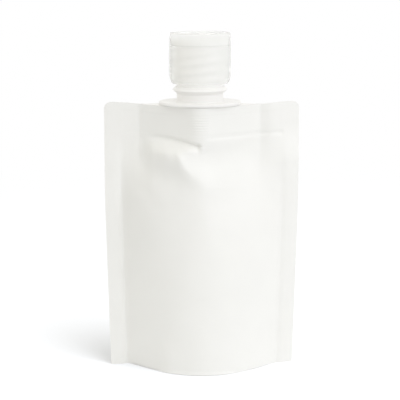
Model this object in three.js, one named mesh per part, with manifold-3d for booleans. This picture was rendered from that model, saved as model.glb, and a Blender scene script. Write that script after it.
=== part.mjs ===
// A refillable stand-up spout pouch: a heat-sealed film bag, a moulded spout, a screw cap and a sealing wad.
// Millimetres, +Z up. The front panel faces -Y and the origin is on the floor under the middle of the bag.
import * as THREE from "three";
import { mergeVertices } from "three/addons/utils/BufferGeometryUtils.js";
import Module from "manifold-3d";

const wasm = await Module();
wasm.setup();

// Film bag
const FILM = 0.2;
const BAG_HEIGHT = 99;
const BAG_WIDTH = 71;
const BASE_NARROWING = 1.4;
const TAPER_HEIGHT = 65;
const TAPER_POWER = 1.25;
const SIDE_SEAL = 5.5;
const SEAL_MARGIN = 0.8;
const TOP_DIP = 1;
const CORNER_RADIUS = 2.6;
const BASE_DEPTH = 29.4;
const BELLY_DEPTH = 31;
const BELLY_HEIGHT = 22;
const SHOULDER = 9;
const WRAP_HEIGHT = 26;
const BASE_SEAL = 4;
const GUSSET_RISE = 16;
const GUSSET_ARCH = 3;
const GUSSET_CURVE = 4;

// Spout
const BORE = 13.2;
const NECK_WALL = 1.8;
const LIP_ROUND = 0.5;
const NECK_HEIGHT = 20;
const COLLAR_PROUD = 1.6;
const COLLAR_ROOT_PROUD = 0.5;
const COLLAR_HEIGHT = 4.2;
const COLLAR_SLOPE = 1.2;
const COLLAR_TIP = 0.4;
const FLANGE_LENGTH = 29.7;
const FLANGE_OVERHANG = 1.2;
const FLANGE_THICKNESS = 1.15;
const BOAT_LENGTH = 41;
const BOAT_SIDE_WALL = 3.7;
const BOAT_NOSE = 6.6;
const BOAT_TIP = 0.6;
const BOAT_HEIGHT = 9.6;
const BOAT_WALL = 1.3;
const BOAT_END_WALL = 5.2;
const BOAT_ROOF = 1.6;
const BOAT_TUBE_WALL = 2.6;
const BOAT_WEB = 1.2;
const RIB_COUNT = 4;
const RIB_WIDTH = 0.8;
const RIB_PROUD = 0.25;

// Screw cap and wad
const CAP_WALL = 1.5;
const CAP_CROWN = 2.3;
const CAP_EDGE = 0.7;
const CAP_BAND_HEIGHT = 4.6;
const CAP_BAND_STEP = 0.15;
const CAP_FOOT_TAPER = 0.9;
const CAP_FOOT_HEIGHT = 3.2;
const CAP_RIM = 0.2;
const WAD_THICKNESS = 1.9;

// Clearances
const WELD_GAP = 0.2;
const TIP_GAP = 1.6;
const FLANGE_GAP = 0.2;
const THREAD_SPACE = 1.2;
const CAP_FOOT_GAP = 0.8;
const WAD_GAP = 0.25;
const SEAT_GAP = 0.2;

// Smoothness
const PANEL_STEPS = 28;
const ROUND_STEPS = 48;
const ARC_STEPS = 5;
const MERGE = 1e-4;
const CUT_MARGIN = 1;

const BOAT_DEPTH = BORE + 2 * BOAT_SIDE_WALL;
const BOAT_RIB_DEPTH = BOAT_DEPTH + 2 * RIB_PROUD;
const BOAT_RIB_NOSE = BOAT_NOSE + RIB_PROUD;
const POCKET_TIP = BOAT_LENGTH / 2 + TIP_GAP;
const POCKET_DEPTH = BOAT_RIB_DEPTH + 2 * WELD_GAP;
const POCKET_NOSE = BOAT_RIB_NOSE + WELD_GAP;
const FLANGE_BOTTOM = BAG_HEIGHT - TOP_DIP + FLANGE_GAP;
const BOAT_BOTTOM = FLANGE_BOTTOM - BOAT_HEIGHT;
const SEAL_BOTTOM = BOAT_BOTTOM - SEAL_MARGIN;
const FLANGE_TOP = FLANGE_BOTTOM + FLANGE_THICKNESS;
const FLANGE_DEPTH = BOAT_DEPTH + 2 * FLANGE_OVERHANG;
const NECK_RADIUS = BORE / 2 + NECK_WALL;
const COLLAR = FLANGE_TOP + COLLAR_HEIGHT;
const LIP = FLANGE_TOP + NECK_HEIGHT;
const WAD_BOTTOM = LIP + SEAT_GAP;
const CROWN_UNDERSIDE = WAD_BOTTOM + WAD_THICKNESS + SEAT_GAP;
const CAP_TOP = CROWN_UNDERSIDE + CAP_CROWN;
const CAP_BOTTOM = COLLAR + COLLAR_SLOPE + CAP_FOOT_GAP;
const CAP_BORE = NECK_RADIUS + THREAD_SPACE;
const CAP_RADIUS = CAP_BORE + CAP_WALL;

function smooth(value, from, to) {
  return THREE.MathUtils.smoothstep(value, from, to);
}

// Angle at which the straight flank of a boat leaves its rounded nose.
function flankAngle(length, depth, nose, tip) {
  const run = length / 2;
  const rise = tip / 2 - (depth / 2 - nose);
  return Math.atan2(run, rise) - Math.acos(nose / Math.hypot(run, rise));
}

// Half depth of a boat in plan, at a distance from its middle.
function boatHalfDepth(x, length, depth, nose, tip) {
  const angle = flankAngle(length, depth, nose, tip);
  const centre = depth / 2 - nose;
  const across = Math.abs(x);
  if (across < nose * Math.sin(angle)) return centre + Math.sqrt(nose * nose - across * across);
  return centre + (nose - across * Math.sin(angle)) / Math.cos(angle);
}

function boatShape(length, depth, nose, tip) {
  const angle = flankAngle(length, depth, nose, tip);
  const centre = depth / 2 - nose;
  const shape = new THREE.Shape();
  shape.moveTo(length / 2, -tip / 2);
  shape.lineTo(length / 2, tip / 2);
  shape.absarc(0, centre, nose, Math.PI / 2 - angle, Math.PI / 2 + angle, false);
  shape.lineTo(-length / 2, tip / 2);
  shape.lineTo(-length / 2, -tip / 2);
  shape.absarc(0, -centre, nose, -Math.PI / 2 - angle, -Math.PI / 2 + angle, false);
  shape.closePath();
  return shape;
}

// A geometry with shared corners merged and triangles without area left out.
function welded(geometry) {
  geometry.deleteAttribute("normal");
  geometry.deleteAttribute("uv");
  const merged = mergeVertices(geometry, MERGE);
  const corners = merged.index.array;
  const kept = [];
  for (let i = 0; i < corners.length; i += 3) {
    const [a, b, c] = corners.slice(i, i + 3);
    if (a !== b && b !== c && c !== a) kept.push(a, b, c);
  }
  merged.setIndex(kept);
  return merged;
}

function solidOf(geometry) {
  const closed = welded(geometry);
  return new wasm.Manifold(new wasm.Mesh({
    numProp: 3,
    vertProperties: new Float32Array(closed.attributes.position.array),
    triVerts: new Uint32Array(closed.index.array),
  }));
}

function geometryOf(solid) {
  const mesh = solid.getMesh();
  const geometry = new THREE.BufferGeometry();
  const places = [];
  for (let i = 0; i < mesh.numVert; i += 1) {
    places.push(...mesh.vertProperties.slice(i * mesh.numProp, i * mesh.numProp + 3));
  }
  geometry.setAttribute("position", new THREE.Float32BufferAttribute(places, 3));
  geometry.setIndex(Array.from(mesh.triVerts));
  return geometry;
}

// A prism of a shape in plan, standing between two heights.
function prism(shape, bottom, top) {
  const geometry = new THREE.ExtrudeGeometry(shape, {
    depth: top - bottom,
    bevelEnabled: false,
    curveSegments: ARC_STEPS,
  });
  return geometry.translate(0, 0, bottom);
}

// A turned part about the spout axis, from a path of radius and height.
function turned(path) {
  const geometry = new THREE.LatheGeometry(path.getPoints(ARC_STEPS), ROUND_STEPS);
  return welded(geometry.rotateX(Math.PI / 2));
}

function plug(radius, bottom, top) {
  const path = new THREE.Path();
  path.moveTo(0, bottom);
  path.lineTo(radius, bottom);
  path.lineTo(radius, top);
  path.lineTo(0, top);
  return turned(path);
}

// Outer half width of the bag at a height, with rounded top corners.
function bagHalfWidth(z) {
  const low = Math.max(0, 1 - z / TAPER_HEIGHT);
  const width = BAG_WIDTH / 2 - BASE_NARROWING * low ** TAPER_POWER;
  const above = Math.max(0, z - (BAG_HEIGHT - CORNER_RADIUS));
  return width - CORNER_RADIUS + Math.sqrt(CORNER_RADIUS ** 2 - above ** 2);
}

// Half width of the open inside: up to the side seals below, to the weld pocket in the top seal, and a round
// shoulder between.
function insideHalfWidth(z) {
  if (z >= SEAL_BOTTOM) return POCKET_TIP;
  const down = Math.min(1, (SEAL_BOTTOM - z) / SHOULDER);
  const side = bagHalfWidth(z) - SIDE_SEAL;
  return POCKET_TIP + (side - POCKET_TIP) * Math.sqrt(1 - (1 - down) ** 2);
}

function pocketHalfDepth(x) {
  return Math.max(0, boatHalfDepth(x, 2 * POCKET_TIP, POCKET_DEPTH, POCKET_NOSE, 0));
}

// Half depth of the inside on the middle line: base, belly, then in to the weld pocket.
function middleHalfDepth(z) {
  const belly = BELLY_DEPTH / 2 - FILM;
  const base = BASE_DEPTH / 2 - FILM;
  if (z < BELLY_HEIGHT) return belly - (belly - base) * (1 - z / BELLY_HEIGHT) ** 2;
  const up = Math.min(1, (z - BELLY_HEIGHT) / (SEAL_BOTTOM - BELLY_HEIGHT));
  return belly - (belly - POCKET_DEPTH / 2) * up ** 2;
}

// Half depth of the inside: the boat outline in the top seal, passing into a plain bulge below it.
function insideHalfDepth(x, z) {
  const share = x / insideHalfWidth(z);
  if (Math.abs(share) >= 1) return 0;
  const bulge = middleHalfDepth(z) * (1 - share ** 2);
  const free = 1 - smooth(z, SEAL_BOTTOM - WRAP_HEIGHT, SEAL_BOTTOM);
  return pocketHalfDepth(x) * (1 - free) + bulge * free;
}

// Height of the top edge, which dips where the film is drawn round the boat.
function topEdge(x) {
  return BAG_HEIGHT - TOP_DIP * (1 - smooth(Math.abs(x), FLANGE_LENGTH / 2, BAG_WIDTH / 2 - CORNER_RADIUS));
}

// Height at which the gusset leaves the panels, low in the middle and high at the side seals.
function gussetEdge(share) {
  return BASE_SEAL + (GUSSET_RISE - BASE_SEAL) * Math.abs(share) ** GUSSET_CURVE;
}

// One closed loop round the bag: the front from left to right, then the back from right to left.
function loopOf(place) {
  const front = [];
  for (let i = -1; i <= PANEL_STEPS + 1; i += 1) {
    const share = THREE.MathUtils.clamp(2 * i / PANEL_STEPS - 1, -1, 1);
    const beyond = i < 0 || i > PANEL_STEPS;
    front.push(place(share, beyond));
  }
  const back = front.map(([x, y, z]) => [x, -y, z]).reverse();
  return [...front, ...back];
}

// A loop on the outer skin, level except for the dip of the top edge.
function outerLoop(height) {
  return loopOf((share, beyond) => {
    const edge = share * bagHalfWidth(height);
    const x = beyond ? edge : share * insideHalfWidth(height);
    const lowered = height - smooth(height, SEAL_BOTTOM, BAG_HEIGHT) * (BAG_HEIGHT - topEdge(x));
    return [x, -(insideHalfDepth(x, height) + FILM), lowered];
  });
}

// A loop on the inner skin, part of the way up from the gusset to the bottom of the top seal.
function innerLoop(rise) {
  return loopOf((share) => {
    const z = THREE.MathUtils.lerp(gussetEdge(share) + FILM, SEAL_BOTTOM, rise);
    const x = share * insideHalfWidth(z);
    return [x, -insideHalfDepth(x, z), z];
  });
}

function pocketLoop() {
  return loopOf((share) => {
    const x = share * POCKET_TIP;
    return [x, -pocketHalfDepth(x), topEdge(x)];
  });
}

// Half depth between the two leaves of the skirt under the gusset.
function skirtHalfDepth(x, z) {
  return insideHalfDepth(x, z) * (1 - FILM / middleHalfDepth(z));
}

function skirtLoop(height) {
  return loopOf((share) => {
    const z = Math.min(height, gussetEdge(share));
    const x = share * insideHalfWidth(z);
    return [x, -skirtHalfDepth(x, z), z];
  });
}

// A loop on the gusset, part of the way out from its middle line: its top face, or its face to the floor.
function gussetLoop(out, top) {
  return loopOf((share) => {
    const arch = GUSSET_ARCH * (1 - out ** 2) * (1 - share ** 2);
    const edge = gussetEdge(share) + (top ? FILM : 0);
    const x = share * insideHalfWidth(edge);
    const reach = top ? insideHalfDepth(x, edge) : skirtHalfDepth(x, edge);
    return [x, -reach * out, edge + arch];
  });
}

function steps(count) {
  return Array.from({ length: count + 1 }, (unused, i) => i / count);
}

function span(from, to) {
  return Math.hypot(to[0] - from[0], to[1] - from[1], to[2] - from[2]);
}

// The skin through a chain of loops, closed at both ends where the loops fall flat. Each patch between two
// loops is split along its shorter diagonal.
function skin(loops) {
  const size = loops[0].length;
  const places = loops.flat();
  const triangles = [];
  for (let row = 0; row + 1 < loops.length; row += 1) {
    for (let i = 0; i < size; i += 1) {
      const next = (i + 1) % size;
      const a = row * size + i;
      const b = row * size + next;
      const c = (row + 1) * size + next;
      const d = (row + 1) * size + i;
      const across = span(places[a], places[c]) < span(places[b], places[d]);
      triangles.push(...(across ? [a, d, c, a, c, b] : [a, d, b, b, d, c]));
    }
  }
  const geometry = new THREE.BufferGeometry();
  geometry.setAttribute("position", new THREE.Float32BufferAttribute(places.flat(), 3));
  geometry.setIndex(triangles);
  return welded(geometry);
}

function filmBag() {
  const corner = steps(4).map((t) => BAG_HEIGHT - CORNER_RADIUS * (1 - Math.cos(t * Math.PI / 2)));
  const shoulder = steps(6).map((t) => SEAL_BOTTOM - SHOULDER * t ** 2);
  const wall = steps(11).slice(1).map((t) => (SEAL_BOTTOM - SHOULDER) * (1 - t));
  const rises = steps(10).map((t) => 1 - (1 - t) ** 1.6);
  return skin([
    ...steps(4).map((out) => gussetLoop(out, true)),
    ...rises.slice(1).map(innerLoop),
    pocketLoop(),
    ...[...corner, ...shoulder, ...wall].map(outerLoop),
    skirtLoop(0),
    ...steps(4).reverse().map((out) => gussetLoop(out, false)),
  ]);
}

function boat() {
  const shape = boatShape(BOAT_LENGTH, BOAT_DEPTH, BOAT_NOSE, BOAT_TIP);
  let solid = solidOf(prism(shape, BOAT_BOTTOM, FLANGE_BOTTOM));
  const ribShape = boatShape(BOAT_LENGTH, BOAT_RIB_DEPTH, BOAT_RIB_NOSE, BOAT_TIP);
  for (let i = 0; i < RIB_COUNT; i += 1) {
    const middle = BOAT_BOTTOM + BOAT_HEIGHT * (i + 0.5) / RIB_COUNT;
    solid = solid.add(solidOf(prism(ribShape, middle - RIB_WIDTH / 2, middle + RIB_WIDTH / 2)));
  }
  return solid.subtract(coring());
}

// The pockets cored out of the boat from below, clear of the tube and of a cross web on each side.
function coring() {
  const roof = FLANGE_BOTTOM - BOAT_ROOF;
  const end = BOAT_LENGTH / 2 - BOAT_END_WALL;
  const shape = boatShape(2 * end, BOAT_DEPTH - 2 * BOAT_WALL, BOAT_NOSE - BOAT_WALL, BOAT_TIP);
  let solid = solidOf(prism(shape, BOAT_BOTTOM - CUT_MARGIN, roof));
  const tube = BORE / 2 + BOAT_TUBE_WALL;
  solid = solid.subtract(solidOf(plug(tube, BOAT_BOTTOM - 2 * CUT_MARGIN, roof + CUT_MARGIN)));
  for (const side of [-1, 1]) {
    const web = new THREE.BoxGeometry(BOAT_WEB, BOAT_DEPTH, BOAT_HEIGHT + 4 * CUT_MARGIN);
    web.translate(side * (tube + end) / 2, 0, BOAT_BOTTOM + BOAT_HEIGHT / 2);
    solid = solid.subtract(solidOf(web));
  }
  return solid;
}

// The neck with its rounded lip and the collar bead under the cap.
function neck() {
  const path = new THREE.Path();
  path.moveTo(0, FLANGE_BOTTOM);
  path.lineTo(NECK_RADIUS, FLANGE_BOTTOM);
  path.lineTo(NECK_RADIUS, COLLAR - COLLAR_SLOPE);
  path.lineTo(NECK_RADIUS + COLLAR_PROUD, COLLAR - COLLAR_TIP / 2);
  path.lineTo(NECK_RADIUS + COLLAR_PROUD, COLLAR + COLLAR_TIP / 2);
  path.lineTo(NECK_RADIUS + COLLAR_ROOT_PROUD, COLLAR + COLLAR_SLOPE);
  path.lineTo(NECK_RADIUS, COLLAR + COLLAR_SLOPE);
  path.lineTo(NECK_RADIUS, LIP - LIP_ROUND);
  path.absarc(NECK_RADIUS - LIP_ROUND, LIP - LIP_ROUND, LIP_ROUND, 0, Math.PI / 2, false);
  path.lineTo(0, LIP);
  return turned(path);
}

function flange() {
  const shape = new THREE.Shape();
  shape.absellipse(0, 0, FLANGE_LENGTH / 2, FLANGE_DEPTH / 2, 0, 2 * Math.PI, false, 0);
  return new THREE.ExtrudeGeometry(shape, {
    depth: FLANGE_THICKNESS,
    bevelEnabled: false,
    curveSegments: ROUND_STEPS / 2,
  }).translate(0, 0, FLANGE_BOTTOM);
}

function spout() {
  const body = boat().add(solidOf(flange())).add(solidOf(neck()));
  return geometryOf(body.subtract(solidOf(plug(BORE / 2, BOAT_BOTTOM - CUT_MARGIN, LIP + CUT_MARGIN))));
}

function screwCap() {
  const band = CAP_RADIUS - CAP_BAND_STEP;
  const step = CAP_TOP - CAP_BAND_HEIGHT;
  const foot = CAP_RADIUS - CAP_FOOT_TAPER;
  const waist = CAP_BOTTOM + CAP_FOOT_HEIGHT;
  const path = new THREE.Path();
  path.moveTo(0, CROWN_UNDERSIDE);
  path.lineTo(CAP_BORE, CROWN_UNDERSIDE);
  path.lineTo(CAP_BORE, CAP_BOTTOM + CAP_RIM);
  path.lineTo(CAP_BORE + CAP_RIM, CAP_BOTTOM);
  path.lineTo(foot - CAP_RIM, CAP_BOTTOM);
  path.lineTo(foot, CAP_BOTTOM + CAP_RIM);
  path.quadraticCurveTo(CAP_RADIUS, CAP_BOTTOM + CAP_FOOT_HEIGHT / 2, CAP_RADIUS, waist);
  path.lineTo(CAP_RADIUS, step - CAP_BAND_STEP);
  path.lineTo(band, step);
  path.lineTo(band, CAP_TOP - CAP_EDGE);
  path.absarc(band - CAP_EDGE, CAP_TOP - CAP_EDGE, CAP_EDGE, 0, Math.PI / 2, false);
  path.lineTo(0, CAP_TOP);
  return turned(path);
}

function part(name, geometry, color) {
  const material = new THREE.MeshStandardMaterial({ color, roughness: 0.5 });
  const mesh = new THREE.Mesh(geometry, material);
  mesh.name = name;
  return mesh;
}

const pouch = new THREE.Group();
pouch.name = "spout_pouch";
pouch.add(part("film_bag", filmBag(), 0xf1f0ec));
pouch.add(part("spout", spout(), 0xe6e7e4));
pouch.add(part("sealing_wad", plug(CAP_BORE - WAD_GAP, WAD_BOTTOM, WAD_BOTTOM + WAD_THICKNESS), 0xf4f4f2));
pouch.add(part("screw_cap", screwCap(), 0xe9eae7));

export default pouch;
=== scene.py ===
"""Looks of a white stand-up spout pouch with a translucent spout and screw cap.

Lengths are in millimetres until a mesh is made, which is in metres. The front panel faces -Y, and x and z
are places across and up a panel. A pair of values named IN or OUT is where a form comes in or goes out,
softly, from the first value to the second.
"""

import math
from typing import NamedTuple

import bpy
import numpy as np
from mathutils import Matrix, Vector


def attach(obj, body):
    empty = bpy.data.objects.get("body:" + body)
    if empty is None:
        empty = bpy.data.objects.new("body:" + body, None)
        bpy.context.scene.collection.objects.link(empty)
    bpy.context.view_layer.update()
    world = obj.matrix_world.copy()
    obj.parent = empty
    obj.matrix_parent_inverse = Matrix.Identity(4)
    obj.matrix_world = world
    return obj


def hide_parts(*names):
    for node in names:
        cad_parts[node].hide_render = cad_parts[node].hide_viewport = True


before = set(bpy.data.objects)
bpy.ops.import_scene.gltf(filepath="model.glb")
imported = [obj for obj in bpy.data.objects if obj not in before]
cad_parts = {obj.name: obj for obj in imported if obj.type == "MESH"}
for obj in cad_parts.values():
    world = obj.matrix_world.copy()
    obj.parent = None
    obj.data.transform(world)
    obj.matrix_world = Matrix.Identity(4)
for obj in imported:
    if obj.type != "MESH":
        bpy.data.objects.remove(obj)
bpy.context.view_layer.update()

MM = 0.001


class Swell(NamedTuple):
    """A swell of a panel, or a hollow where its height is negative, between two heights."""

    height: float
    middle: float
    width: float
    comes_in: tuple
    goes_out: tuple


class Dent(NamedTuple):
    """A round hollow in a panel."""

    depth: float
    x: float
    z: float
    width: float
    height: float


# Outline of the bag
FILM = 0.2
BAG_HEIGHT = 99.0
BAG_WIDTH = 71.0
BAG_SHIFT = 0.7
BASE_NARROWING = 1.4
TAPER_HEIGHT = 65.0
TAPER_POWER = 1.25
SIDE_SEAL = 5.5
SEAL_BOTTOM = 87.8
TOP_DIP = 1.0
CORNER_RADIUS = 2.6

# Depth of the bag
BASE_DEPTH = 29.4
BELLY_DEPTH = 31.0
BELLY_HEIGHT = 22.0
EDGE_EASE = 1.0
PANEL_GAP = 0.01
FRONT_SHOULDERS = (15.0, 6.0)
BACK_SHOULDERS = (9.0, 13.0)

# Film wrapped around the boat of the spout, longer on the right
WRAP_HEIGHT = 24.0
RIGHT_WRAP = 26.0
RIGHT_HASTE = 0.7
RIGHT_IN = (-2.0, 8.0)
POCKET_TIP = 22.1
POCKET_DEPTH = 21.5
POCKET_NOSE = 7.05
POCKET_SOFT_SEAL = 0.12
POCKET_SOFT_BELOW = 4.0
POCKET_SOFT_HEIGHT = 9.0
POCKET_SOFT_REACH = 4.0

# Keel below the boat: heights, and places across at those heights
KEEL_HEIGHTS = (60.0, 66.0, 72.0, 77.0, 81.5, 84.0)
KEEL_PLACES = (4.0, 2.0, -1.6, -5.9, -8.2, -8.6)
KEEL_RISE = 2.4
KEEL_IN = (-23.0, -17.0)
KEEL_OUT = (1.0, 9.0)
KEEL_FADE = 19.0
KEEL_ROUND = 0.4
KEEL_ROUND_GROWTH = 0.22
KEEL_LEFT_REACH = 8.0
KEEL_RIGHT_REACH = 3.9
NOSE_OUT = (77.5, 87.0)

# Crease under the left flank of the boat
CREASE_START = -19.6
CREASE_LENGTH = 18.9
CREASE_TOP = 87.0
CREASE_SLOPE = 0.5
CREASE_DROP = 2.3
CREASE_IN = (-20.5, -15.0)
CREASE_OUT = (-1.0, 0.8)
CREASE_DEPTH = 0.5
CREASE_DEEPENING = 1.3
CREASE_WIDTH_ABOVE = 0.9
CREASE_WIDTH_BELOW = 1.5

# Lip of film below the crease, and the fold at its left end
LIP_HEIGHT = 81.5
LIP_CLIMB = 2.1
LIP_CLIMB_IN = (-8.0, -1.0)
LIP_LEAST = 0.4
FOLD_RISE = 1.5
FOLD_IN = (-20.6, -16.6)
FOLD_OUT = (-13.0, -8.0)
FOLD_ROUND = 0.8
FOLD_FADE = 5.0

# Swells, hollows and ripples of the panels
APART_IN = (0.3, 3.0)
LOOSE_OUT = (84.0, 87.0)
FROM_BASE = (-2.0, -1.0)
FRONT_SWELLS = (
    Swell(height=0.5, middle=-11.7, width=3.2, comes_in=FROM_BASE, goes_out=(4.0, 15.0)),
    Swell(height=0.9, middle=-19.0, width=7.0, comes_in=(36.0, 56.0), goes_out=(68.0, 80.0)),
    Swell(height=-0.5, middle=-19.0, width=7.0, comes_in=FROM_BASE, goes_out=(6.0, 26.0)),
    Swell(height=-1.2, middle=13.0, width=11.0, comes_in=(34.0, 60.0), goes_out=(62.0, 80.0)),
)
FRONT_DENT = Dent(depth=0.3, x=23.9, z=78.4, width=5.0, height=6.0)
BACK_DENT = Dent(depth=0.6, x=-20.0, z=77.0, width=5.0, height=6.0)
BACK_TUCK = 0.6
WEDGE_X = -28.5
WEDGE_Z = 73.0
WEDGE_SLOPE = 0.67
WEDGE_DEPTH = 0.35
WEDGE_WIDTH = 3.6
WEDGE_IN = (-29.0, -25.0)
WEDGE_OUT = (-20.0, -12.0)
RIPPLE_HEIGHTS = (0.10, 0.08)
RIPPLE_ACROSS = 6.1
RIPPLE_UP = 10.7
RIPPLE_OBLIQUE = 9.3
RIPPLE_SLANT = 0.6
RIPPLE_PHASES = (1.3, 2.1)
FRONT_SEED = 0.7
BACK_SEED = 2.2

# Prints of the boat's ribs and of the sealing jaw in the top seal
RIB_PRINT = 0.05
RIB_PRINT_WIDTH = 2.6
RIB_PRINT_IN = (89.2, 90.0)
RIB_PRINT_OUT = (95.0, 95.8)
RIB_PRINT_FIRST = 90.05
RIB_PRINT_PITCH = 1.04
JAW_PRINT = 0.05
JAW_LEFT = (-28.5, -28.1)
JAW_RIGHT = (29.1, 29.5)
JAW_LOW = (87.6, 88.0)
JAW_HIGH = (96.0, 96.4)

# Foot of the front panel
RIM_HEIGHT = 1.6
RIM_REACH = 18.0
RIM_FLARE = 0.35
RIM_LEAST = 0.05
RIM_FULL = 1.0
RIM_TURN = 0.25
RIM_EDGE = 0.4
RIM_TURN_OUT = (24.0, 28.0)

# Lean of the side seals and the groove below the top seal
LEAN_EASE = 0.8
LEFT_LEAN = 0.32
LEFT_LEAN_REACH = 1.5
LEFT_FOLD = 0.8
LEFT_FOLD_EASE = 0.4
LEFT_FOLD_REACH = 0.8
LEFT_FOLD_OUT = (60.0, 80.0)
RIGHT_LEAN = 0.05
RIGHT_BEND = 0.35
RIGHT_BEND_LENGTH = 2.2
CORNER_LEAN = 0.38
CORNER_BEND_LENGTH = 3.0
CORNER_START = 2.0
CORNER_BELOW = 11.0
CORNER_ABOVE = 3.0
UPPER_IN = (SEAL_BOTTOM - CORNER_BELOW, SEAL_BOTTOM + CORNER_ABOVE)
GROOVE_DEPTH = 0.28
GROOVE_HEIGHT = 87.1
GROOVE_SLOPE = 0.02
GROOVE_WIDTH = 0.9
GROOVE_IN = (1.0, 4.0)
GROOVE_OUT = (29.5, 31.0)

# Bottom gusset
BASE_SEAL = 4.0
GUSSET_RISE = 16.0
GUSSET_POWER = 4
GUSSET_ARCH = 3.0
GUSSET_MARGIN = 1.6
FLAP_SHORT = 0.8
FLAP_INSET = 0.15
WEB_MARGIN = 0.03

# Rows and columns of the film meshes
SEAL_COLUMNS = 14
PANEL_COLUMNS = 151
FOOT_TOP = 2.0
FOOT_ROWS = 21
CREASED_BOTTOM = 62.0
LOW_ROWS = 88
CREASED_TOP = 84.0
CREASED_ROWS = 62
TOP_ROWS = 70
CORNER_ROWS = 10
GUSSET_COLUMNS = 81
FLAP_ROWS = 14
WEB_ROWS = 33
FILM_SHARP_ANGLE = 50.0

# Neck and collar of the spout
BORE_RADIUS = 6.6
NECK_RADIUS = 8.4
LIP = 119.35
LIP_INNER_FILLET = 0.45
LIP_OUTER_FILLET = 0.6
PAST_LIP = 0.8
COLLAR = 103.55
COLLAR_PROUD = 1.6
COLLAR_STEP = 0.5
COLLAR_RISE = 1.2
COLLAR_DROP = 1.25
COLLAR_STEP_FILLET = 0.25
COLLAR_EDGE_FILLET = 0.35
COLLAR_DROP_FILLET = 0.4
NECK_FOOT = 1.2
NECK_FOOT_FILLET = 0.6

# Flange and boat of the spout
FLANGE_BOTTOM = 98.2
FLANGE_TOP = 99.35
FLANGE_HALF = (14.85, 11.5)
FLANGE_EDGE = 0.3
FLANGE_EDGE_STEPS = 5
FLANGE_SHARES = (0.35, 0.7)
FLANGE_UNDERSIDE = 14.0
BOAT_STEP = 0.02
BOAT_BOTTOM = 88.6
BOAT_HALF_LENGTH = 21.9
BOAT_DEPTH = 21.3
BOAT_NOSE = 6.95
BOAT_TIP = 0.06
RIB_COUNT = 4
RIB_PROUD = 0.06
RIB_HALF_ROOT = 0.55
RIB_HALF_CREST = 0.4

# Screw cap
CAP_TOP = 123.95
CAP_BOTTOM = 105.85
CAP_RADIUS = 11.1
CAP_BORE = 9.6
CROWN_UNDERSIDE = 121.65
CROWN_CORNER = 0.4
CROWN_CORNER_EASE = 0.1
CROWN_FILLET = 0.55
CAP_POLE = 0.02
CAP_MIDDLE = 1.0
MOUTH_HEIGHT = 0.5
MOUTH_EDGE = 0.45
MOUTH_FLARE = 0.1
FOOT_INSET = 0.95
FOOT_FILLET = 0.25
TAPER_INSET = 0.2
TAPER_TOP = 1.5
TAPER_FILLET = 1.0
SIDE_BOTTOM = 4.0
SIDE_FILLET = 0.8
BAND_HEIGHT = 4.6
BAND_INSET = 0.15
BAND_DRAFT = 0.05
BAND_LEDGE = 0.1
BAND_FILLET = 0.12

# Sealing wad
WAD_BOTTOM = 119.42
WAD_TOP = 121.45
WAD_RADIUS = 9.35
WAD_FILLET = 0.25
WAD_MIDDLE = 0.5

# Two-start right-hand thread
THREAD_PITCH = 3.2
THREAD_LEAD = 6.4
NECK_THREAD = 0.8
NECK_THREAD_ENDS = (107.0, 118.2)
NECK_THREAD_CLEAR = 1.25
CAP_THREAD = 0.05
CAP_THREAD_ENDS = (107.2, 118.4)
THREAD_CREST = 0.35
THREAD_ROOT = 0.85
THREAD_RUN_OUT = 1.2

# Steps of the turned meshes
SEGMENTS = 144
FILLET_STEPS = 6
THREAD_STEP = 0.16
CAP_STEP = 1.2
WAD_STEP = 1.5
PLASTIC_SHARP_ANGLE = 40.0
TINY = 1e-6
ANGLES = np.arange(SEGMENTS) * 2.0 * math.pi / SEGMENTS

# Materials. Colours and roughness are pairs between which a noise moves
FILM_COLOURS = ((0.908, 0.906, 0.880), (0.922, 0.920, 0.894))
FILM_ROUGHNESS = (0.40, 0.50)
FILM_SHINE = 0.4
SPOUT_COLOURS = ((0.885, 0.878, 0.86), (0.90, 0.893, 0.875))
SPOUT_ROUGHNESS = (0.33, 0.37)
SPOUT_BENDING = 1.49
CAP_COLOURS = ((0.95, 0.952, 0.935), (0.96, 0.962, 0.945))
CAP_ROUGHNESS = (0.16, 0.20)
CAP_BENDING = 1.25
CAP_CLEAR = 0.7
FOAM_COLOURS = ((0.83, 0.83, 0.82), (0.87, 0.87, 0.86))
FOAM_ROUGHNESS = (0.7, 0.85)
FOAM_GLOW = 0.8
FOAM_GLOW_DEPTH = 0.004
NOISE_RANGE = (0.3, 0.7)

# Floor and sky, in metres and as shares of white
FLOOR_SIZE = 14.0
FLOOR_SHOWN = (0.80, 0.81, 0.835)
FLOOR_REAL = 0.53
FLOOR_CLOSE = 0.605
BOUNCE_OUT = (0.03, 0.12)
FLOOR_WHITE_IN = (0.16, 0.42)
SKY_COLOUR = (1.0, 0.990, 0.945)
SKY_SIDE = 0.76
SKY_TOP = 0.42
SKY_TILT = 0.06
WHITE = (1.0, 1.0, 1.0, 1.0)

# Lamps, in metres: where they stand and what they are aimed at
KEY_PLACE = (0.70, -0.62, 0.50)
KEY_TARGET = (0.0, 0.0, 0.06)
KEY_COLOUR = (0.85, 0.88, 1.0)
OVERHEAD_PLACE = (0.28, -0.30, 1.0)
OVERHEAD_TARGET = (0.0, 0.0, 0.0)
OVERHEAD_COLOUR = (0.96, 0.97, 1.0)
FILL_PLACE = (-0.75, -0.50, 0.30)
FILL_TARGET = (0.0, 0.0, 0.11)
FILL_COLOUR = (1.0, 0.98, 0.95)

# Camera, in metres and degrees
CAMERA_DISTANCE = 0.420
CAMERA_HEIGHT = 0.14884
CAMERA_PITCH = 11.584
CAMERA_LENS = 104.86
CAMERA_SENSOR = 36.0
CAMERA_RANGE = (0.01, 50.0)


def smooth(low, high, value):
    """A soft step from 0 at low to 1 at high."""
    t = np.clip((np.asarray(value, float) - low) / (high - low), 0.0, 1.0)
    return t * t * (3.0 - 2.0 * t)


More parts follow.
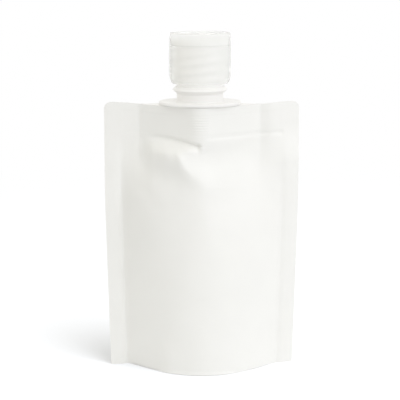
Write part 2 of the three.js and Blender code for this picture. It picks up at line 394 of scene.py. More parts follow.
def window(comes_in, goes_out, value):
    """1 between two soft steps, 0 outside them."""
    return smooth(*comes_in, value) * (1.0 - smooth(*goes_out, value))


def bell(value, width):
    return np.exp(-((np.asarray(value, float) / width) ** 2))


# Mesh making


def add_mesh(name, points, faces, sharp_angle):
    """A smooth-shaded mesh object from points in millimetres."""
    mesh = bpy.data.meshes.new(name)
    mesh.from_pydata((np.asarray(points, float) * MM).tolist(), [], faces)
    mesh.validate()
    mesh.polygons.foreach_set("use_smooth", [True] * len(mesh.polygons))
    mesh.set_sharp_from_angle(angle=math.radians(sharp_angle))
    mesh.update()
    obj = bpy.data.objects.new(name, mesh)
    bpy.context.scene.collection.objects.link(obj)
    return obj


def strip_faces(rows, size, closed_rows):
    """Quads between loops of the same size, where row follows row."""
    faces = []
    count = rows if closed_rows else rows - 1
    for r in range(count):
        a = r * size
        b = ((r + 1) % rows) * size
        for i in range(size):
            j = (i + 1) % size
            faces.append((a + i, a + j, b + j, b + i))
    return faces


def chain(name, loops, closed=False):
    """A closed skin through loops. An open chain is closed by a point at the middle of each end loop."""
    loops = [np.asarray(loop, float) for loop in loops]
    size = len(loops[0])
    points = np.concatenate(loops)
    faces = strip_faces(len(loops), size, closed)
    if not closed:
        first = len(points)
        points = np.concatenate([points, loops[0].mean(0)[None], loops[-1].mean(0)[None]])
        last_row = (len(loops) - 1) * size
        for i in range(size):
            j = (i + 1) % size
            faces.append((first, j, i))
            faces.append((first + 1, last_row + i, last_row + j))
    return add_mesh(name, points, faces, PLASTIC_SHARP_ANGLE)


def rounded(corners):
    """A profile of radius and height whose corners (radius, height, fillet) are rounded off."""
    out = []
    for k, (r, z, fillet) in enumerate(corners):
        if fillet <= 0 or k in (0, len(corners) - 1):
            out.append((r, z))
            continue
        here = np.array((r, z))
        back = np.array(corners[k - 1][:2]) - here
        on = np.array(corners[k + 1][:2]) - here
        start = here + back / np.linalg.norm(back) * fillet
        end = here + on / np.linalg.norm(on) * fillet
        for t in np.linspace(0.0, 1.0, FILLET_STEPS):
            out.append(tuple((1 - t) ** 2 * start + 2 * t * (1 - t) * here + t ** 2 * end))
    return out


def dense(profile, step):
    """The profile with long straight stretches cut into steps."""
    out = [profile[0]]
    for a, b in zip(profile, profile[1:]):
        count = max(1, int(math.ceil(math.dist(a, b) / step)))
        for k in range(1, count + 1):
            t = k / count
            out.append((a[0] + (b[0] - a[0]) * t, a[1] + (b[1] - a[1]) * t))
    return out


def ring(radius, z):
    """A loop about the spout axis. Radius may differ from angle to angle."""
    radius = np.broadcast_to(np.asarray(radius, float), ANGLES.shape)
    return np.stack([radius * np.cos(ANGLES), radius * np.sin(ANGLES), np.full(SEGMENTS, z)], 1)


def thread_height(z, phase, ends, height):
    """Height of the thread at each angle of a loop at z."""
    low, high = ends
    lift = THREAD_LEAD * ANGLES / (2.0 * math.pi) + phase
    centre = np.round((z - lift) / THREAD_PITCH) * THREAD_PITCH + lift
    off = np.abs(z - centre)
    form = smooth(0.0, 1.0, (THREAD_ROOT - off) / (THREAD_ROOT - THREAD_CREST))
    run_out = window((low, low + THREAD_RUN_OUT), (high - THREAD_RUN_OUT, high), centre)
    return height * form * run_out


def boat_lines(half_length, depth, nose, tip):
    """Centre of a boat's rounded nose and the slant of its straight flank, in plan."""
    centre = depth / 2 - nose
    rise = tip / 2 - centre
    slant = math.atan2(half_length, rise) - math.acos(nose / math.hypot(half_length, rise))
    return centre, slant


# Form of the bag


def pocket(x, z):
    """Half depth around the boat, with ends that soften below the seal."""
    centre, slant = boat_lines(POCKET_TIP, POCKET_DEPTH, POCKET_NOSE, 0.0)
    across = np.abs(x)
    flank = centre + (POCKET_NOSE - across * math.sin(slant)) / math.cos(slant)
    arc = centre + np.sqrt(np.maximum(POCKET_NOSE ** 2 - across * across, 0.0))
    sharp = np.where(across < POCKET_NOSE * math.sin(slant), arc, flank)
    soft = POCKET_SOFT_SEAL + POCKET_SOFT_BELOW * smooth(0.0, POCKET_SOFT_HEIGHT, SEAL_BOTTOM - z)
    return 0.5 * (sharp + np.sqrt(sharp ** 2 + soft ** 2)) - 0.5 * soft * bell(sharp, POCKET_SOFT_REACH)


def half_width(z):
    """Half the standing width of the bag, with its rounded top corners."""
    low = np.maximum(0.0, 1.0 - z / TAPER_HEIGHT)
    above = np.clip(z - (BAG_HEIGHT - CORNER_RADIUS), 0.0, CORNER_RADIUS)
    corner = CORNER_RADIUS - np.sqrt(CORNER_RADIUS ** 2 - above ** 2)
    return BAG_WIDTH / 2 - BASE_NARROWING * low ** TAPER_POWER - corner


def inside_half_width(z, shoulder):
    """Half width between the side seals, drawn in to the tip of the boat over the height of a shoulder."""
    down = np.clip((SEAL_BOTTOM - z) / shoulder, 0.0, 1.0)
    side = half_width(np.minimum(z, SEAL_BOTTOM)) - SIDE_SEAL
    return POCKET_TIP + (side - POCKET_TIP) * np.sqrt(1.0 - (1.0 - down) ** 2)


def middle_half_depth(z):
    """Half depth in the middle of the bag: the base, the belly and the boat."""
    belly = BELLY_DEPTH / 2 - FILM
    base = BASE_DEPTH / 2 - FILM
    below = belly - (belly - base) * np.maximum(0.0, 1.0 - z / BELLY_HEIGHT) ** 2
    up = np.clip((z - BELLY_HEIGHT) / (SEAL_BOTTOM - BELLY_HEIGHT), 0.0, 1.0)
    return np.where(z < BELLY_HEIGHT, below, belly - (belly - POCKET_DEPTH / 2) * up ** 2)


def keel_line(z):
    """Place across the front of the keel that the tucked film throws up below the boat."""
    return np.interp(z, KEEL_HEIGHTS, KEEL_PLACES)


def plain_depth(x, z, shoulders, nose=0.0):
    """Half depth of the bag: the boat's outline in the top seal, passing into a bulge below it."""
    left_shoulder, right_shoulder = shoulders
    own = x - BAG_SHIFT
    edge = np.where(own < 0, inside_half_width(z, left_shoulder), inside_half_width(z, right_shoulder))
    inside = np.maximum(edge - np.abs(own), 0.0)
    eased = inside - EDGE_EASE * (1.0 - np.exp(-inside / EDGE_EASE))
    share = np.clip(1.0 - eased / (edge - EDGE_EASE), 0.0, 1.0)
    bulge = middle_half_depth(z) * (1.0 - share ** 2)
    right = smooth(*RIGHT_IN, x)
    wrap = WRAP_HEIGHT + RIGHT_WRAP * right
    held = np.clip((z - SEAL_BOTTOM + wrap) / wrap, 0.0, 1.0) ** (1.0 + RIGHT_HASTE * right)
    free = 1.0 - smooth(0.0, 1.0, held)
    off = x - nose
    drawn = off * POCKET_TIP / (POCKET_TIP - np.sign(off) * nose)
    at_seal = np.maximum(pocket(np.maximum(np.abs(drawn), edge), z), 0.0)
    around = np.maximum(pocket(drawn, z) - at_seal * share ** 2, 0.0)
    return around * (1.0 - free) + bulge * free


def soft_fall(off, round_off, reach):
    """1 at off 0, falling away on both sides over the reach, with a rounded top."""
    return np.exp(-(np.sqrt(off ** 2 + round_off ** 2) - round_off) / reach)


def tuck(x, z):
    """The film tucked in under one flank of the boat, with the lip and keel that it throws up below."""
    along = np.clip((x - CREASE_START) / CREASE_LENGTH, 0.0, 1.0)
    line = CREASE_TOP - CREASE_SLOPE * along - CREASE_DROP * along ** 2
    off = z - line
    crease = np.where(off > 0, bell(off, CREASE_WIDTH_ABOVE), bell(off, CREASE_WIDTH_BELOW))
    valley = (CREASE_DEPTH + CREASE_DEEPENING * along ** 2) * window(CREASE_IN, CREASE_OUT, x) * crease

    lip = LIP_HEIGHT + LIP_CLIMB * smooth(*LIP_CLIMB_IN, x)
    above = 1.0 - smooth(0.0, 1.0, (z - lip) / np.maximum(line - lip, LIP_LEAST))
    below = 1.0 - smooth(0.0, KEEL_FADE, lip - z)
    keel = keel_line(z)
    keel_round = KEEL_ROUND + KEEL_ROUND_GROWTH * np.abs(LIP_HEIGHT - z)
    keel_reach = np.where(x < keel, KEEL_LEFT_REACH, KEEL_RIGHT_REACH)
    ridge = soft_fall(x - keel, keel_round, keel_reach) * window(KEEL_IN, KEEL_OUT, x)
    fold = window(FOLD_IN, FOLD_OUT, x)
    fold_below = soft_fall(lip - z, FOLD_ROUND, FOLD_FADE)
    keel_rise = KEEL_RISE * ridge * np.where(z > lip, above, below)
    fold_rise = FOLD_RISE * fold * np.where(z > lip, above, fold_below)
    return keel_rise + fold_rise - valley


def swell(x, z, form):
    return form.height * bell(x - form.middle, form.width) * window(form.comes_in, form.goes_out, z)


def dent(x, z, form):
    return -form.depth * bell(x - form.x, form.width) * bell(z - form.z, form.height)


def wedge(x, z):
    """The shallow hollow that slants down from the left shoulder."""
    off = (z - WEDGE_Z) + (x - WEDGE_X) * WEDGE_SLOPE
    return -WEDGE_DEPTH * bell(off, WEDGE_WIDTH) * window(WEDGE_IN, WEDGE_OUT, x)


def ripples(x, z, seed):
    """Slow unevenness of a filled film panel."""
    upright = np.sin(x / RIPPLE_ACROSS + seed) * np.sin(z / RIPPLE_UP + RIPPLE_PHASES[0] * seed)
    oblique = np.sin((x + RIPPLE_SLANT * z) / RIPPLE_OBLIQUE + RIPPLE_PHASES[1] * seed)
    return RIPPLE_HEIGHTS[0] * upright + RIPPLE_HEIGHTS[1] * oblique


def ribs(x, z):
    """The sealing ribs of the boat, pressed through the film at its nose."""
    near = bell(x, RIB_PRINT_WIDTH) * window(RIB_PRINT_IN, RIB_PRINT_OUT, z)
    return RIB_PRINT * near * np.cos((z - RIB_PRINT_FIRST) * 2.0 * math.pi / RIB_PRINT_PITCH)


def jaw_print(x, z):
    """The shallow imprint of the sealing jaw in the top seal."""
    return -JAW_PRINT * window(JAW_LEFT, JAW_RIGHT, x) * window(JAW_LOW, JAW_HIGH, z)


def base_rim(x, z):
    """The foot of the panel: a low band that flares out in the middle, with its cut edge turned under."""
    band = RIM_HEIGHT * np.maximum(1.0 - (x / RIM_REACH) ** 2, 0.0)
    low = np.maximum(1.0 - z / np.maximum(band, RIM_LEAST), 0.0)
    flare = RIM_FLARE * low * np.minimum(band, RIM_FULL)
    lowest = np.maximum(1.0 - z / RIM_EDGE, 0.0)
    turn = RIM_TURN * lowest ** 2 * (1.0 - smooth(*RIM_TURN_OUT, np.abs(x)))
    return flare - turn


def front_depth(x, z):
    nose = np.minimum(keel_line(z), 0.0) * (1.0 - smooth(*NOSE_OUT, z))
    depth = plain_depth(x, z, FRONT_SHOULDERS, nose)
    apart = smooth(*APART_IN, depth)
    loose = apart * (1.0 - smooth(*LOOSE_OUT, z))
    form = wedge(x, z) + dent(x, z, FRONT_DENT) + sum(swell(x, z, each) for each in FRONT_SWELLS)
    depth = depth + tuck(x, z) + form * apart + base_rim(x, z) + ripples(x, z, FRONT_SEED) * loose
    return np.maximum(depth + ribs(x, z), PANEL_GAP)


def back_depth(x, z):
    depth = plain_depth(x, z, BACK_SHOULDERS)
    apart = smooth(*APART_IN, depth)
    loose = apart * (1.0 - smooth(*LOOSE_OUT, z))
    form = dent(x, z, BACK_DENT) * apart + ripples(-x, z, BACK_SEED) * loose
    depth = depth + BACK_TUCK * tuck(-x, z) + form
    return np.maximum(depth + ribs(x, z), PANEL_GAP)


def before_line(out, ease):
    """The soft start of a lean inside the seal line, which reaches the ease at the line."""
    return ease * np.exp(np.minimum(out, 0.0) / ease)


def levelling_lean(out, ease, reach):
    """A lean that starts softly inside the seal line and levels off beyond it."""
    beyond = np.maximum(out, 0.0)
    return np.where(out > 0, ease + reach * (1.0 - np.exp(-beyond / reach)), before_line(out, ease))


def bent_ramp(along, length):
    """A straight ramp that starts with a bend of a given length."""
    return np.where(along < length, along ** 2 / (2.0 * length), along - length / 2.0)


def seal_curl(x, z):
    """Lean of the side seals: the left one forward at its inner edge, the right one back all along."""
    out = np.abs(x - BAG_SHIFT) - (half_width(np.minimum(z, SEAL_BOTTOM)) - SIDE_SEAL)
    beyond = np.maximum(out, 0.0)
    upper = smooth(*UPPER_IN, z)
    folded = levelling_lean(out, LEFT_FOLD_EASE, LEFT_FOLD_REACH) * (1.0 - smooth(*LEFT_FOLD_OUT, z))
    left = -LEFT_LEAN * levelling_lean(out, LEAN_EASE, LEFT_LEAN_REACH) - LEFT_FOLD * folded
    straight = np.where(out > 0, LEAN_EASE + beyond, before_line(out, LEAN_EASE))
    side = RIGHT_LEAN * straight + RIGHT_BEND * bent_ramp(beyond, RIGHT_BEND_LENGTH)
    from_boat = np.maximum(x - POCKET_TIP - CORNER_START, 0.0)
    corner = CORNER_LEAN * bent_ramp(from_boat, CORNER_BEND_LENGTH)
    right = side * (1.0 - upper) + corner * upper
    off_groove = z - GROOVE_HEIGHT - GROOVE_SLOPE * x
    groove = GROOVE_DEPTH * bell(off_groove, GROOVE_WIDTH) * window(GROOVE_IN, GROOVE_OUT, x)
    return np.where(x < BAG_SHIFT, left * (1.0 - upper), right) + groove


def top_edge(x):
    """Height of the cut top edge, which dips between the corners."""
    rise = smooth(FLANGE_HALF[0], BAG_WIDTH / 2 - CORNER_RADIUS, np.abs(x))
    return BAG_HEIGHT - TOP_DIP * (1.0 - rise)


def panel_grid():
    """Points x and z of a panel, with closer rows where the film is creased."""
    corner_bottom = BAG_HEIGHT - CORNER_RADIUS
    corner_turn = np.linspace(0.0, math.pi / 2, CORNER_ROWS)[1:]
    heights = np.concatenate([
        np.linspace(0.0, FOOT_TOP, FOOT_ROWS)[:-1],
        np.linspace(FOOT_TOP, CREASED_BOTTOM, LOW_ROWS),
        np.linspace(CREASED_BOTTOM, CREASED_TOP, CREASED_ROWS)[1:],
        np.linspace(CREASED_TOP, corner_bottom, TOP_ROWS)[1:],
        BAG_HEIGHT - CORNER_RADIUS * (1.0 - np.sin(corner_turn)),
    ])
    seal = np.linspace(0.0, SIDE_SEAL, SEAL_COLUMNS)[1:]
    inner = np.linspace(-1.0, 1.0, PANEL_COLUMNS)
    rows = []
    for z in heights:
        start = float(half_width(z)) - SIDE_SEAL
        right = start + seal
        rows.append(np.concatenate([-right[::-1], inner * start, right]))
    x = np.array(rows) + BAG_SHIFT
    z = np.repeat(heights[:, None], x.shape[1], 1)
    return x, z


def panel(name, side, depth_of):
    """A film panel with its thickness. Side is -1 for the front and 1 for the back."""
    x, z = panel_grid()
    depth = depth_of(x, z)
    middle = seal_curl(x, z)
    shown = z - smooth(SEAL_BOTTOM, BAG_HEIGHT, z) * (BAG_HEIGHT - top_edge(x))
    outer = np.stack([x, middle + side * (depth + FILM + jaw_print(x, z)), shown], -1)
    inner = np.stack([x, middle + side * depth, shown], -1)
    rows, columns = x.shape
    count = rows * columns
    points = np.concatenate([outer.reshape(-1, 3), inner.reshape(-1, 3)])
    index = np.arange(count).reshape(rows, columns)
    a, b = index[:-1, :-1].ravel(), index[:-1, 1:].ravel()
    c, d = index[1:, 1:].ravel(), index[1:, :-1].ravel()
    outside = np.stack([a, b, c, d], 1)
    inside = np.stack([d, c, b, a], 1) + count
    rim = np.concatenate([index[0, :-1], index[:-1, -1], index[-1, :0:-1], index[:0:-1, 0]])
    turn = np.roll(rim, -1)
    edge = np.stack([rim, rim + count, turn + count, turn], 1)
    faces = np.concatenate([outside, inside, edge])
    if side > 0:
        faces = faces[:, ::-1]
    return add_mesh(name, points, faces.tolist(), FILM_SHARP_ANGLE)


def gusset_line(x, half):
    """Section of the bottom web at x: up the front flap, over the arch and down the back flap."""
    share = abs(x - BAG_SHIFT) / half
    top = BASE_SEAL + (GUSSET_RISE - BASE_SEAL) * share ** GUSSET_POWER
    rise = np.linspace(0.0, top - FLAP_SHORT, FLAP_ROWS)
    across = np.full(FLAP_ROWS, x)
    front = np.stack([-(front_depth(across, rise) - FLAP_INSET), rise], 1)
    back = np.stack([back_depth(across, rise) - FLAP_INSET, rise], 1)
    near = float(front_depth(np.array([x]), np.array([top]))[0])
    far = float(back_depth(np.array([x]), np.array([top]))[0])
    t = np.linspace(0.0, 1.0, WEB_ROWS)
    web_y = -near + (near + far) * (WEB_MARGIN + (1.0 - 2.0 * WEB_MARGIN) * t)
    web_z = top + GUSSET_ARCH * 4.0 * t * (1.0 - t) * (1.0 - share ** 2)
    return np.concatenate([front, np.stack([web_y, web_z], 1), back[::-1]])


def gusset():
    """The bottom web: bonded inside both panels up to its seal line, and arched across between them."""
    half = float(inside_half_width(np.array(0.0), BACK_SHOULDERS[0]))
    reach = half - GUSSET_MARGIN
    loops = []
    for x in np.linspace(-reach, reach, GUSSET_COLUMNS) + BAG_SHIFT:
        line = gusset_line(x, half)
        slope = np.gradient(line, axis=0)
        normal = np.stack([-slope[:, 1], slope[:, 0]], 1)
        normal /= np.linalg.norm(normal, axis=1)[:, None]
        upper = line + normal * FILM / 2
        lower = line - normal * FILM / 2
        section = np.concatenate([upper, lower[::-1]])
        loops.append(np.column_stack([np.full(len(section), x), section]))
    size = len(loops[0])
    last = (len(loops) - 1) * size
    faces = [face[::-1] for face in strip_faces(len(loops), size, False)]
    for i in range(size // 2 - 1):
        faces.append((i, i + 1, size - 2 - i, size - 1 - i))
        faces.append((last + size - 1 - i, last + size - 2 - i, last + i + 1, last + i))
    return add_mesh("bottom_gusset", np.concatenate(loops), faces, FILM_SHARP_ANGLE)


# Spout, cap and wad


def boat_radius(proud):
    """Distance from the axis to the boat's outline at each angle, with the outline moved out by proud."""
    nose = BOAT_NOSE + proud
    centre, slant = boat_lines(BOAT_HALF_LENGTH, BOAT_DEPTH + 2 * proud, nose, BOAT_TIP)
    out = []
    for angle in ANGLES:
        c, s = abs(math.cos(angle)), abs(math.sin(angle))
        flank = (nose + centre * math.cos(slant)) / (c * math.sin(slant) + s * math.cos(slant))
        arc = centre * s + math.sqrt(max(nose ** 2 - (centre * c) ** 2, 0.0))
        r = flank if flank * c > nose * math.sin(slant) else arc
        out.append(min(r, BOAT_HALF_LENGTH / max(c, TINY)))
    return np.array(out)


def flange_ring(inset, z):
    a, b = FLANGE_HALF[0] - inset, FLANGE_HALF[1] - inset
    return np.stack([a * np.cos(ANGLES), b * np.sin(ANGLES), np.full(SEGMENTS, z)], 1)


def neck_loops():
    """From the foot of the bore over the lip, down the threaded neck and the collar to the flange."""
    profile = rounded([
        (BORE_RADIUS, BOAT_BOTTOM, 0.0),
        (BORE_RADIUS, LIP, LIP_INNER_FILLET),
        (NECK_RADIUS, LIP, LIP_OUTER_FILLET),
        (NECK_RADIUS, COLLAR + COLLAR_RISE, 0.0),
        (NECK_RADIUS + COLLAR_STEP, COLLAR + COLLAR_RISE, COLLAR_STEP_FILLET),
        (NECK_RADIUS + COLLAR_PROUD, COLLAR, COLLAR_EDGE_FILLET),
        (NECK_RADIUS, COLLAR - COLLAR_DROP, COLLAR_DROP_FILLET),
        (NECK_RADIUS, FLANGE_TOP, NECK_FOOT_FILLET),
        (NECK_RADIUS + NECK_FOOT, FLANGE_TOP, 0.0),
    ])
    loops = []
    past_lip = False
    for r, z in dense(profile, THREAD_STEP):
        past_lip = past_lip or r > BORE_RADIUS + PAST_LIP
        on_neck = past_lip and abs(r - NECK_RADIUS) < TINY
        radius = r
        if on_neck and z > COLLAR + NECK_THREAD_CLEAR:
            radius = r + thread_height(z, 0.0, NECK_THREAD_ENDS, NECK_THREAD)
        loops.append(ring(radius, z))
    return loops


def flange_loops(start):
    """From the last loop of the neck out over the flange's top, around its edge and in to the boat."""
    rim = flange_ring(FLANGE_EDGE, FLANGE_TOP)
    loops = [start + (rim - start) * share for share in FLANGE_SHARES]
    turns = np.linspace(0.0, math.pi / 2, FLANGE_EDGE_STEPS)
    edge = [(FLANGE_EDGE * (1 - math.sin(t)), FLANGE_EDGE * (1 - math.cos(t))) for t in turns]
    for inset, drop in edge:
        loops.append(flange_ring(inset, FLANGE_TOP - drop))
    for inset, rise in reversed(edge):
        loops.append(flange_ring(inset, FLANGE_BOTTOM + rise))
    loops.append(ring(np.minimum(boat_radius(0.0), FLANGE_UNDERSIDE), FLANGE_BOTTOM))
    return loops


def boat_loops():
    """Down the flanks of the boat, over its sealing ribs."""
    loops = [ring(boat_radius(0.0), FLANGE_BOTTOM - BOAT_STEP)]
    spacing = (FLANGE_BOTTOM - BOAT_BOTTOM) / RIB_COUNT
    for k in range(RIB_COUNT):
        middle = FLANGE_BOTTOM - spacing * (k + 0.5)
        loops.append(ring(boat_radius(0.0), middle + RIB_HALF_ROOT))
        loops.append(ring(boat_radius(RIB_PROUD), middle + RIB_HALF_CREST))
        loops.append(ring(boat_radius(RIB_PROUD), middle - RIB_HALF_CREST))
        loops.append(ring(boat_radius(0.0), middle - RIB_HALF_ROOT))
    loops.append(ring(boat_radius(0.0), BOAT_BOTTOM))
    return loops


def spout():
    neck = neck_loops()
    return chain("spout_body", neck + flange_loops(neck[-1]) + boat_loops(), closed=True)


def screw_cap():
    loops = [
        ring(CAP_POLE, CROWN_UNDERSIDE),
        ring(CAP_BORE - CROWN_CORNER, CROWN_UNDERSIDE),
        ring(CAP_BORE - CROWN_CORNER_EASE, CROWN_UNDERSIDE - CROWN_CORNER_EASE),
    ]
    bore = [(CAP_BORE, CROWN_UNDERSIDE - CROWN_CORNER), (CAP_BORE, CAP_BOTTOM + MOUTH_HEIGHT)]
    for r, z in dense(bore, THREAD_STEP):
        loops.append(ring(r - thread_height(z, THREAD_PITCH / 2, CAP_THREAD_ENDS, CAP_THREAD), z))
    band = CAP_RADIUS - BAND_INSET
    ledge = CAP_TOP - BAND_HEIGHT
    outside = rounded([
        (CAP_BORE, CAP_BOTTOM + MOUTH_EDGE, 0.0),
        (CAP_BORE + MOUTH_FLARE, CAP_BOTTOM, MOUTH_FLARE),
        (CAP_RADIUS - FOOT_INSET, CAP_BOTTOM, FOOT_FILLET),
        (CAP_RADIUS - TAPER_INSET, CAP_BOTTOM + TAPER_TOP, TAPER_FILLET),
        (CAP_RADIUS, CAP_BOTTOM + SIDE_BOTTOM, SIDE_FILLET),
        (CAP_RADIUS, ledge - BAND_LEDGE, BAND_FILLET),
        (band, ledge, BAND_FILLET),
        (band - BAND_DRAFT, CAP_TOP, CROWN_FILLET),
        (CAP_MIDDLE, CAP_TOP, 0.0),
    ])
    for r, z in dense(outside, CAP_STEP):
        loops.append(ring(r, z))
    return chain("screw_cap_body", loops)


def wad():
    outline = rounded([
        (WAD_MIDDLE, WAD_BOTTOM, 0.0),
        (WAD_RADIUS, WAD_BOTTOM, WAD_FILLET),
        (WAD_RADIUS, WAD_TOP, WAD_FILLET),
        (WAD_MIDDLE, WAD_TOP, 0.0),
    ])
    return chain("wad_disc", [ring(r, z) for r, z in dense(outline, WAD_STEP)])


# Materials


def material(name):
    """A material with a shader of its own, joined to its output."""
    made = bpy.data.materials.new(name)
    made.use_nodes = True
    tree = made.node_tree
    tree.nodes.clear()
    out = tree.nodes.new("ShaderNodeOutputMaterial")
    shader = tree.nodes.new("ShaderNodeBsdfPrincipled")
    tree.links.new(shader.outputs["BSDF"], out.inputs["Surface"])
    return made, tree, shader


def noise(tree, scale, detail):
    """A noise value in the object's own coordinates, with a scale in features per metre."""
    place = tree.nodes.new("ShaderNodeTexCoord")
    texture = tree.nodes.new("ShaderNodeTexNoise")
    texture.inputs["Scale"].default_value = scale
    texture.inputs["Detail"].default_value = detail
    tree.links.new(place.outputs["Object"], texture.inputs["Vector"])
    return texture.outputs["Fac"]


def between_colours(tree, value, colours):
    ramp = tree.nodes.new("ShaderNodeValToRGB")
    for element, position, colour in zip(ramp.color_ramp.elements, NOISE_RANGE, colours):
        element.position = position
        element.color = (*colour, 1.0)
    tree.links.new(value, ramp.inputs["Fac"])
    return ramp.outputs["Color"]


def map_range(tree, value, source, target, interpolation="LINEAR"):
    """A value moved from one range to another."""
    node = tree.nodes.new("ShaderNodeMapRange")
    node.interpolation_type = interpolation
    node.inputs["From Min"].default_value = source[0]
    node.inputs["From Max"].default_value = source[1]
    node.inputs["To Min"].default_value = target[0]
    node.inputs["To Max"].default_value = target[1]
    tree.links.new(value, node.inputs["Value"])
    return node.outputs["Result"]


def bump(tree, value, strength, distance, under=None):
    node = tree.nodes.new("ShaderNodeBump")
    node.inputs["Strength"].default_value = strength
    node.inputs["Distance"].default_value = distance
    tree.links.new(value, node.inputs["Height"])
    if under is not None:
        tree.links.new(under, node.inputs["Normal"])
    return node.outputs["Normal"]


def film_material():
    made, tree, shader = material("white_film")
    tone = noise(tree, scale=90.0, detail=3.0)
    fine = noise(tree, scale=1400.0, detail=4.0)
    slow = noise(tree, scale=140.0, detail=2.0)
    tree.links.new(between_colours(tree, tone, FILM_COLOURS), shader.inputs["Base Color"])
    tree.links.new(map_range(tree, fine, NOISE_RANGE, FILM_ROUGHNESS), shader.inputs["Roughness"])
    shader.inputs["Specular IOR Level"].default_value = FILM_SHINE
    waves = bump(tree, slow, strength=0.25, distance=0.0002)
    grain = bump(tree, fine, strength=0.12, distance=0.00006, under=waves)
    tree.links.new(grain, shader.inputs["Normal"])
    return made


def plastic_material(name, colours, roughness, bending, clear):
    made, tree, shader = material(name)
    tone = noise(tree, scale=120.0, detail=2.0)
    fine = noise(tree, scale=900.0, detail=3.0)
    tree.links.new(between_colours(tree, tone, colours), shader.inputs["Base Color"])
    tree.links.new(map_range(tree, fine, NOISE_RANGE, roughness), shader.inputs["Roughness"])
    shader.inputs["IOR"].default_value = bending
    shader.inputs["Transmission Weight"].default_value = clear
    return made


def foam_material():
    made, tree, shader = material("white_foam")
    cells = noise(tree, scale=2600.0, detail=2.0)
    tree.links.new(between_colours(tree, cells, FOAM_COLOURS), shader.inputs["Base Color"])
    tree.links.new(map_range(tree, cells, NOISE_RANGE, FOAM_ROUGHNESS), shader.inputs["Roughness"])
    tree.links.new(bump(tree, cells, strength=0.5, distance=0.0001), shader.inputs["Normal"])
    shader.inputs["Subsurface Weight"].default_value = FOAM_GLOW
    shader.inputs["Subsurface Radius"].default_value = (1.0, 1.0, 1.0)
    shader.inputs["Subsurface Scale"].default_value = FOAM_GLOW_DEPTH
    return made


def math_node(tree, operation, *values):
    """The result of one operation on links or plain numbers."""
    node = tree.nodes.new("ShaderNodeMath")
    node.operation = operation
    for socket, value in zip(node.inputs, values):
        if isinstance(value, float):
            socket.default_value = value
        else:
            tree.links.new(value, socket)
    return node.outputs["Value"]


def seen_directly(tree):
    """1 for rays from the camera, from a mirror-like surface or through a clear one, else 0."""
    path = tree.nodes.new("ShaderNodeLightPath")
    first = math_node(tree, "MAXIMUM", path.outputs["Is Camera Ray"], path.outputs["Is Glossy Ray"])
    return math_node(tree, "MAXIMUM", first, path.outputs["Is Transmission Ray"])


def mix_shaders(tree, share, first, second):
    mix = tree.nodes.new("ShaderNodeMixShader")
    tree.links.new(share, mix.inputs["Fac"])
    tree.links.new(first, mix.inputs[1])
    tree.links.new(second, mix.inputs[2])
    return mix.outputs["Shader"]


# Floor, light and camera


def floor_material():
    """A pale floor, plain white far off, which gives a little more light back near the pouch."""
    made = bpy.data.materials.new("pale_floor")
    made.use_nodes = True
    tree = made.node_tree
    tree.nodes.clear()
    out = tree.nodes.new("ShaderNodeOutputMaterial")
    seen = seen_directly(tree)
    place = tree.nodes.new("ShaderNodeTexCoord")
    length = tree.nodes.new("ShaderNodeVectorMath")
    length.operation = "LENGTH"
    tree.links.new(place.outputs["Object"], length.inputs[0])
    away = length.outputs["Value"]
    bounce = map_range(tree, away, BOUNCE_OUT, (FLOOR_CLOSE, FLOOR_REAL), "SMOOTHSTEP")
    tone = tree.nodes.new("ShaderNodeMix")
    tone.data_type = "RGBA"
    tone.inputs["B"].default_value = (*FLOOR_SHOWN, 1.0)
    tree.links.new(bounce, tone.inputs["A"])
    tree.links.new(seen, tone.inputs["Factor"])
    diffuse = tree.nodes.new("ShaderNodeBsdfDiffuse")
    tree.links.new(tone.outputs["Result"], diffuse.inputs["Color"])
    white = tree.nodes.new("ShaderNodeEmission")
    white.inputs["Strength"].default_value = 1.0
    far = map_range(tree, away, FLOOR_WHITE_IN, (0.0, 1.0), "SMOOTHSTEP")
    share = math_node(tree, "MULTIPLY", far, seen)
    shown = mix_shaders(tree, share, diffuse.outputs["BSDF"], white.outputs["Emission"])
    tree.links.new(shown, out.inputs["Surface"])
    return made


def add_floor():
    bpy.ops.mesh.primitive_plane_add(size=FLOOR_SIZE, location=(0.0, 0.0, 0.0))
    made = bpy.context.object
    made.name = "floor"
    made.data.materials.append(floor_material())
    return made


def add_sky():
    """A soft warm sky, lighter overhead and to the right, in front of a plain white backdrop."""
    world = bpy.data.worlds.new("studio")
    bpy.context.scene.world = world
    world.use_nodes = True
    sky = world.node_tree
    sky.nodes.clear()
    out = sky.nodes.new("ShaderNodeOutputWorld")
    aim = sky.nodes.new("ShaderNodeTexCoord")
    split = sky.nodes.new("ShaderNodeSeparateXYZ")
    sky.links.new(aim.outputs["Generated"], split.inputs["Vector"])
    height = math_node(sky, "MAXIMUM", split.outputs["Z"], 0.0)
    square = math_node(sky, "POWER", height, 2.0)
    level = math_node(sky, "MULTIPLY_ADD", square, SKY_TOP, SKY_SIDE)
    tilted = math_node(sky, "MULTIPLY_ADD", split.outputs["X"], SKY_TILT, level)
    fill = sky.nodes.new("ShaderNodeBackground")
    fill.inputs["Color"].default_value = (*SKY_COLOUR, 1.0)
    sky.links.new(tilted, fill.inputs["Strength"])
    backdrop = sky.nodes.new("ShaderNodeBackground")
    backdrop.inputs["Color"].default_value = WHITE
    backdrop.inputs["Strength"].default_value = 1.0
    seen = seen_directly(sky)
    shown = mix_shaders(sky, seen, fill.outputs["Background"], backdrop.outputs["Background"])
    sky.links.new(shown, out.inputs["Surface"])


def lamp(name, place, target, size, power, colour):
    data = bpy.data.lights.new(name, "AREA")
    data.shape = "DISK"
    data.size = size
    data.energy = power
    data.color = colour
    obj = bpy.data.objects.new(name, data)
    bpy.context.scene.collection.objects.link(obj)
    obj.location = place
    obj.rotation_mode = "QUATERNION"
    obj.rotation_quaternion = (Vector(target) - Vector(place)).to_track_quat("-Z", "Y")
    return obj


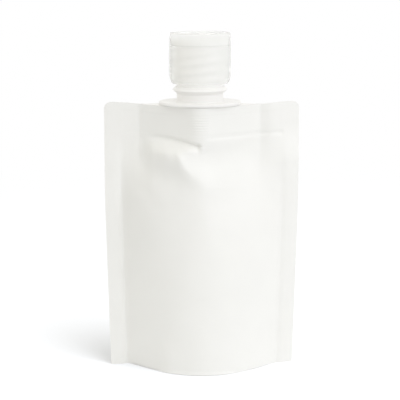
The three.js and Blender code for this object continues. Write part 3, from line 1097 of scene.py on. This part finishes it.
def light_only(source, name, objects):
    """Let a lamp light these objects alone."""
    lit = bpy.data.collections.new(name)
    for obj in objects:
        lit.objects.link(obj)
    source.light_linking.receiver_collection = lit


def add_camera():
    camera = bpy.data.objects.new("camera", bpy.data.cameras.new("camera"))
    bpy.context.scene.collection.objects.link(camera)
    camera.location = (0.0, -CAMERA_DISTANCE, CAMERA_HEIGHT)
    camera.rotation_euler = (math.radians(90.0 - CAMERA_PITCH), 0.0, 0.0)
    camera.data.sensor_width = CAMERA_SENSOR
    camera.data.lens = CAMERA_LENS
    camera.data.clip_start, camera.data.clip_end = CAMERA_RANGE
    bpy.context.scene.camera = camera


# The pouch

film = film_material()
spout_plastic = plastic_material("spout_polyolefin", SPOUT_COLOURS, SPOUT_ROUGHNESS, SPOUT_BENDING, 0.0)
cap_plastic = plastic_material("cap_polyolefin", CAP_COLOURS, CAP_ROUGHNESS, CAP_BENDING, CAP_CLEAR)
foam = foam_material()

pieces = [
    (panel("front_panel", -1, front_depth), film, "pouch", "film_bag", "film"),
    (panel("back_panel", 1, back_depth), film, "pouch", "film_bag", "film"),
    (gusset(), film, "pouch", "film_bag", "film"),
    (spout(), spout_plastic, "pouch", "spout", "spout_plastic"),
    (wad(), foam, "wad", "sealing_wad", "wad_foam"),
    (screw_cap(), cap_plastic, "cap", "screw_cap", "cap_plastic"),
]
for obj, look, body, node, slot in pieces:
    obj.data.materials.append(look)
    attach(obj, body)
    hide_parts(node)
    obj.visible_shadow = look is not cap_plastic
    obj.visible_diffuse = look is not cap_plastic

# The studio

floor = add_floor()
add_sky()
lamp("key", KEY_PLACE, KEY_TARGET, size=0.9, power=2.7, colour=KEY_COLOUR)
floor_key = lamp("floor_key", OVERHEAD_PLACE, OVERHEAD_TARGET, size=0.62, power=5.4, colour=OVERHEAD_COLOUR)
spout_fill = lamp("spout_fill", FILL_PLACE, FILL_TARGET, size=0.9, power=1.0, colour=FILL_COLOUR)
light_only(floor_key, "lit_floor", [floor])
light_only(spout_fill, "lit_spout", [obj for obj, look, *names in pieces if look is not film])
add_camera()
bpy.context.scene.view_settings.view_transform = "Standard"
